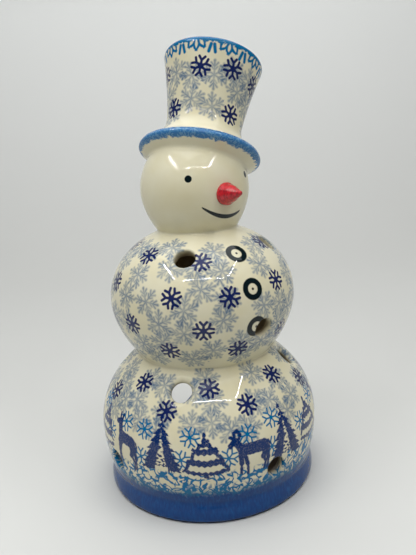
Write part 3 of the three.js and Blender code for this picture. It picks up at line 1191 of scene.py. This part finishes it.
def glaze_material():
    """Cream glaze with each ink laid over the last, and a darker tan painted shade inside the shell."""
    material, tree, shader = material_named("stamped_cream_glaze", GLAZE_ROUGHNESS)
    shader.inputs["Specular IOR Level"].default_value = GLAZE_SPECULAR
    place = place_in_mm(tree)
    on_brim, z, inner = split(tree, attribute(tree, "zones"))

    mottle = noise(tree, place, 0.07, 3.0)
    colour = blend_colours(tree, ((mottle - 0.35) * 1.6).clamped(), CREAM, CREAM_WARM)

    density = (noise(tree, place, 0.3, 3.0) * 1.3 + 0.2).clamped()
    for index in range(GREY_LAYERS):
        flake = feathery_flake(tree, attribute(tree, f"grey_{index}"))
        colour = blend_colours(tree, flake * density * GREY_STRENGTH, colour, GREY_BLUE)
    colour = foot_bands(tree, place, z, colour)
    cyan = plain_flake(tree, attribute(tree, "cyan"), *CYAN_FLAKE)
    colour = blend_colours(tree, cyan, colour, CYAN)
    stamped = scenery(tree, attribute(tree, "scenery"))
    worn = (noise(tree, place, 1.6, 2.0) * 0.5 + 0.74).clamped()
    colour = blend_colours(tree, stamped * worn, colour, INDIGO)
    navy = plain_flake(tree, attribute(tree, "navy"), *NAVY_FLAKE)
    colour = blend_colours(tree, navy * NAVY_STRENGTH, colour, NAVY)
    lace = hat_lace(tree, attribute(tree, "hat_band"))
    colour = blend_colours(tree, lace, colour, CYAN)

    fray = noise(tree, place, 0.5, 3.0) - 0.5
    sponge = inked(on_brim * -1.0 + fray * SPONGE_FRAY, 0.35)
    pale = squiggles(tree, place, *RIM_CURLS)
    blue = blend_colours(tree, pale * 0.6, RIM_BLUE, PALE_BLUE)
    colour = blend_colours(tree, sponge * SPONGE_STRENGTH, colour, blue)

    marks = face_marks(tree, attribute(tree, "face")).most(smile(tree, attribute(tree, "smile")))
    colour = blend_colours(tree, marks, colour, BLACK_TEAL)
    # Painted shade: faces deep in the wall, inside the shell and down the holes, are blended towards a
    # darker tan
    inside = ((inner - INSIDE_SHADE_FROM) * 3.0).clamped()
    colour = blend_colours(tree, inside * INSIDE_SHADE_STRENGTH, colour, SHADED_INSIDE_TAN)
    tree.links.new(colour.socket, shader.inputs["Base Color"])
    return material


def nose_material():
    """Red glaze brushed on in darker streaks, which stand up a little."""
    material, tree, shader = material_named("red_glaze", NOSE_ROUGHNESS)
    stretched = vector_node(tree, "MULTIPLY", place_in_mm(tree), (0.9, 2.2, 0.9))
    brushed = noise(tree, stretched, 0.8, 3.0)
    colour = blend_colours(tree, ((brushed - 0.4) * 3.0).clamped(), RASPBERRY, RASPBERRY_DARK)
    tree.links.new(colour.socket, shader.inputs["Base Color"])
    bump = tree.nodes.new("ShaderNodeBump")
    bump.inputs["Strength"].default_value = 0.35
    bump.inputs["Distance"].default_value = NOSE_RELIEF * MM
    tree.links.new(brushed.socket, bump.inputs["Height"])
    tree.links.new(bump.outputs["Normal"], shader.inputs["Normal"])
    return material


def make_nose():
    """A short carrot with a full shoulder, faint turning rings and a blunt tip, its base in the head."""
    axis = outward(0, math.cos(math.radians(NOSE_RISE)), math.sin(math.radians(NOSE_RISE)))
    place, _ = surface_place(HEAD_BALL, 0, NOSE_Z)
    start = place - axis * NOSE_SEAT_DEPTH
    cone = NOSE_LENGTH - NOSE_TIP_RADIUS
    profile = [(0, NOSE_BASE_RADIUS)]
    cone_steps = 36
    for i in range(cone_steps + 1):
        share = i / cone_steps
        radius = NOSE_BASE_RADIUS + (NOSE_TIP_RADIUS - NOSE_BASE_RADIUS) * share ** NOSE_BULGE
        radius += NOSE_RIPPLE * math.sin(2 * math.pi * NOSE_RINGS * share) * (1 - share)
        profile.append((NOSE_SEAT_DEPTH + cone * share, radius))
    tip_steps = 6
    for i in range(1, tip_steps + 1):
        turn = math.pi / 2 * i / tip_steps
        along = NOSE_SEAT_DEPTH + cone + NOSE_TIP_RADIUS * math.sin(turn)
        profile.append((along, NOSE_TIP_RADIUS * math.cos(turn)))
    side = np.cross(axis, [0, 0, 1.0])
    side /= np.linalg.norm(side)
    lift = np.cross(side, axis)
    around = 72
    points = []
    for along, radius in profile:
        for k in range(around):
            turn = 2 * math.pi * k / around
            points.append(start + axis * along + (side * math.cos(turn) + lift * math.sin(turn)) * radius)
    faces = [tuple(reversed(range(around)))]
    for i in range(len(profile) - 1):
        for k in range(around):
            a = i * around + k
            b = i * around + (k + 1) % around
            faces.append((a, b, b + around, a + around))
    nose = add_mesh("nose", (np.array(points) * MM).tolist(), faces)
    nose.data.shade_smooth()
    return nose


# The room: a pale sweep that curves up behind, painted lighter higher up, thin bars of light on three sides,
# and soft light above
PAPER = srgb(203, 204, 201)
PAPER_PAINTED_LIGHT = srgb(250, 252, 250)
PAINTED_LIGHT_RISE = 2.5
SWEEP_FRONT = -0.3
SWEEP_FLAT_UNTIL = 0.35
SWEEP_BEND = 0.5
SWEEP_TOP = 2.2
SWEEP_HALF_WIDTH = 1.6
SWEEP_STEPS = 24


def make_sweep():
    """A floor that bends up into a backdrop, square to the camera, with painted light that makes it whiter
    higher up.
    """
    side = np.array([-AWAY[1], AWAY[0], 0])
    section = [(SWEEP_FRONT, 0.0), (SWEEP_FLAT_UNTIL, 0.0)]
    for i in range(1, SWEEP_STEPS + 1):
        turn = math.pi / 2 * i / SWEEP_STEPS
        reach = SWEEP_FLAT_UNTIL + SWEEP_BEND * math.sin(turn)
        section.append((reach, SWEEP_BEND * (1 - math.cos(turn))))
    section.append((SWEEP_FLAT_UNTIL + SWEEP_BEND, SWEEP_TOP))
    points = []
    for reach, rise in section:
        for edge in (-SWEEP_HALF_WIDTH, SWEEP_HALF_WIDTH):
            points.append(tuple(AWAY * reach + side * edge + np.array([0, 0, rise])))
    faces = [(2 * i + 1, 2 * i, 2 * i + 2, 2 * i + 3) for i in range(len(section) - 1)]
    sweep = add_mesh("sweep", points, faces)
    sweep.data.shade_smooth()
    material, tree, shader = material_named("paper", PAPER_ROUGHNESS)
    # Painted light: the paper is blended towards a brighter white the higher it rises
    rise = split(tree, object_place(tree))[2]
    colour = blend_colours(tree, (rise * PAINTED_LIGHT_RISE).clamped(), PAPER, PAPER_PAINTED_LIGHT)
    tree.links.new(colour.socket, shader.inputs["Base Color"])
    sweep.data.materials.append(material)
    return sweep


# The bars' places are in millimetres in a frame turned with the photographer
PHOTO_TURN = 32
BAR_HEIGHT = 450
BAR_WIDTH = 4.5
BARS = [
    ("bar_left", (-230, -20), (-230, -285), 0.78),
    ("bar_front", (-195, -315), (200, -315), 0.82),
    ("bar_right", (235, -285), (235, -40), 0.6),
]
OVERHEAD_PLACE = (0.15, 0.2, 1.3)
OVERHEAD_SIZE = 1.3
OVERHEAD_POWER = 12
WASH_WIDTH = 1.4
WASH_DEPTH = 0.2
WASH_POWER = 1.5
WASH_PLACE = (0.6, 0.9)
WASH_TARGET = (1.0, 0.5)
ROOM_BRIGHTNESS = 0.08


def area_light(name, width, depth, power, placing):
    data = bpy.data.lights.new(name, "AREA")
    data.shape = "RECTANGLE"
    data.size = width
    data.size_y = depth
    data.energy = power
    add_object(name, data).matrix_world = placing


def light_panel(name, place, target, width, depth, power):
    """A soft light that faces its target, all in metres."""
    aim = (Vector(target) - Vector(place)).normalized()
    turn = aim.to_track_quat("-Z", "Y").to_matrix().to_4x4()
    area_light(name, width, depth, power, Matrix.Translation(Vector(place)) @ turn)


def light_bar(name, start, end, power):
    """A thin strip of light between two points, facing down."""
    a = np.array((*start, BAR_HEIGHT)) * MM
    b = np.array((*end, BAR_HEIGHT)) * MM
    angle = math.atan2(b[1] - a[1], b[0] - a[0])
    spot = Matrix.Translation(Vector((a + b) / 2)) @ Matrix.Rotation(angle, 4, "Z")
    placing = Matrix.Rotation(math.radians(-PHOTO_TURN), 4, "Z") @ spot
    area_light(name, float(np.linalg.norm(b - a)), BAR_WIDTH * MM, power, placing)


def behind(reach, rise):
    """A point in metres beyond the figure, as seen from the camera, and above the floor."""
    return reach * Vector(AWAY) + rise * Vector((0, 0, 1))


def make_lights():
    bpy.context.scene.view_settings.view_transform = "Standard"
    for name, start, end, power in BARS:
        light_bar(name, start, end, power)
    below = (*OVERHEAD_PLACE[:2], 0)
    light_panel("overhead", OVERHEAD_PLACE, below, OVERHEAD_SIZE, OVERHEAD_SIZE, OVERHEAD_POWER)
    wash_place = behind(*WASH_PLACE)
    light_panel("backdrop_wash", wash_place, behind(*WASH_TARGET), WASH_WIDTH, WASH_DEPTH, WASH_POWER)
    world = bpy.data.worlds.new("room")
    world.use_nodes = True
    background = world.node_tree.nodes["Background"]
    background.inputs["Color"].default_value = (1, 1, 1, 1)
    background.inputs["Strength"].default_value = ROOM_BRIGHTNESS
    bpy.context.scene.world = world


shell = make_shell()
decorate(shell.data)
shell.data.materials.append(glaze_material())
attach(shell, "root")
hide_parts("base_ball", "middle_ball", "head", "top_hat")

nose = make_nose()
nose.data.materials.append(nose_material())
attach(nose, "root")
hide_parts("carrot_nose")

make_sweep()
make_lights()
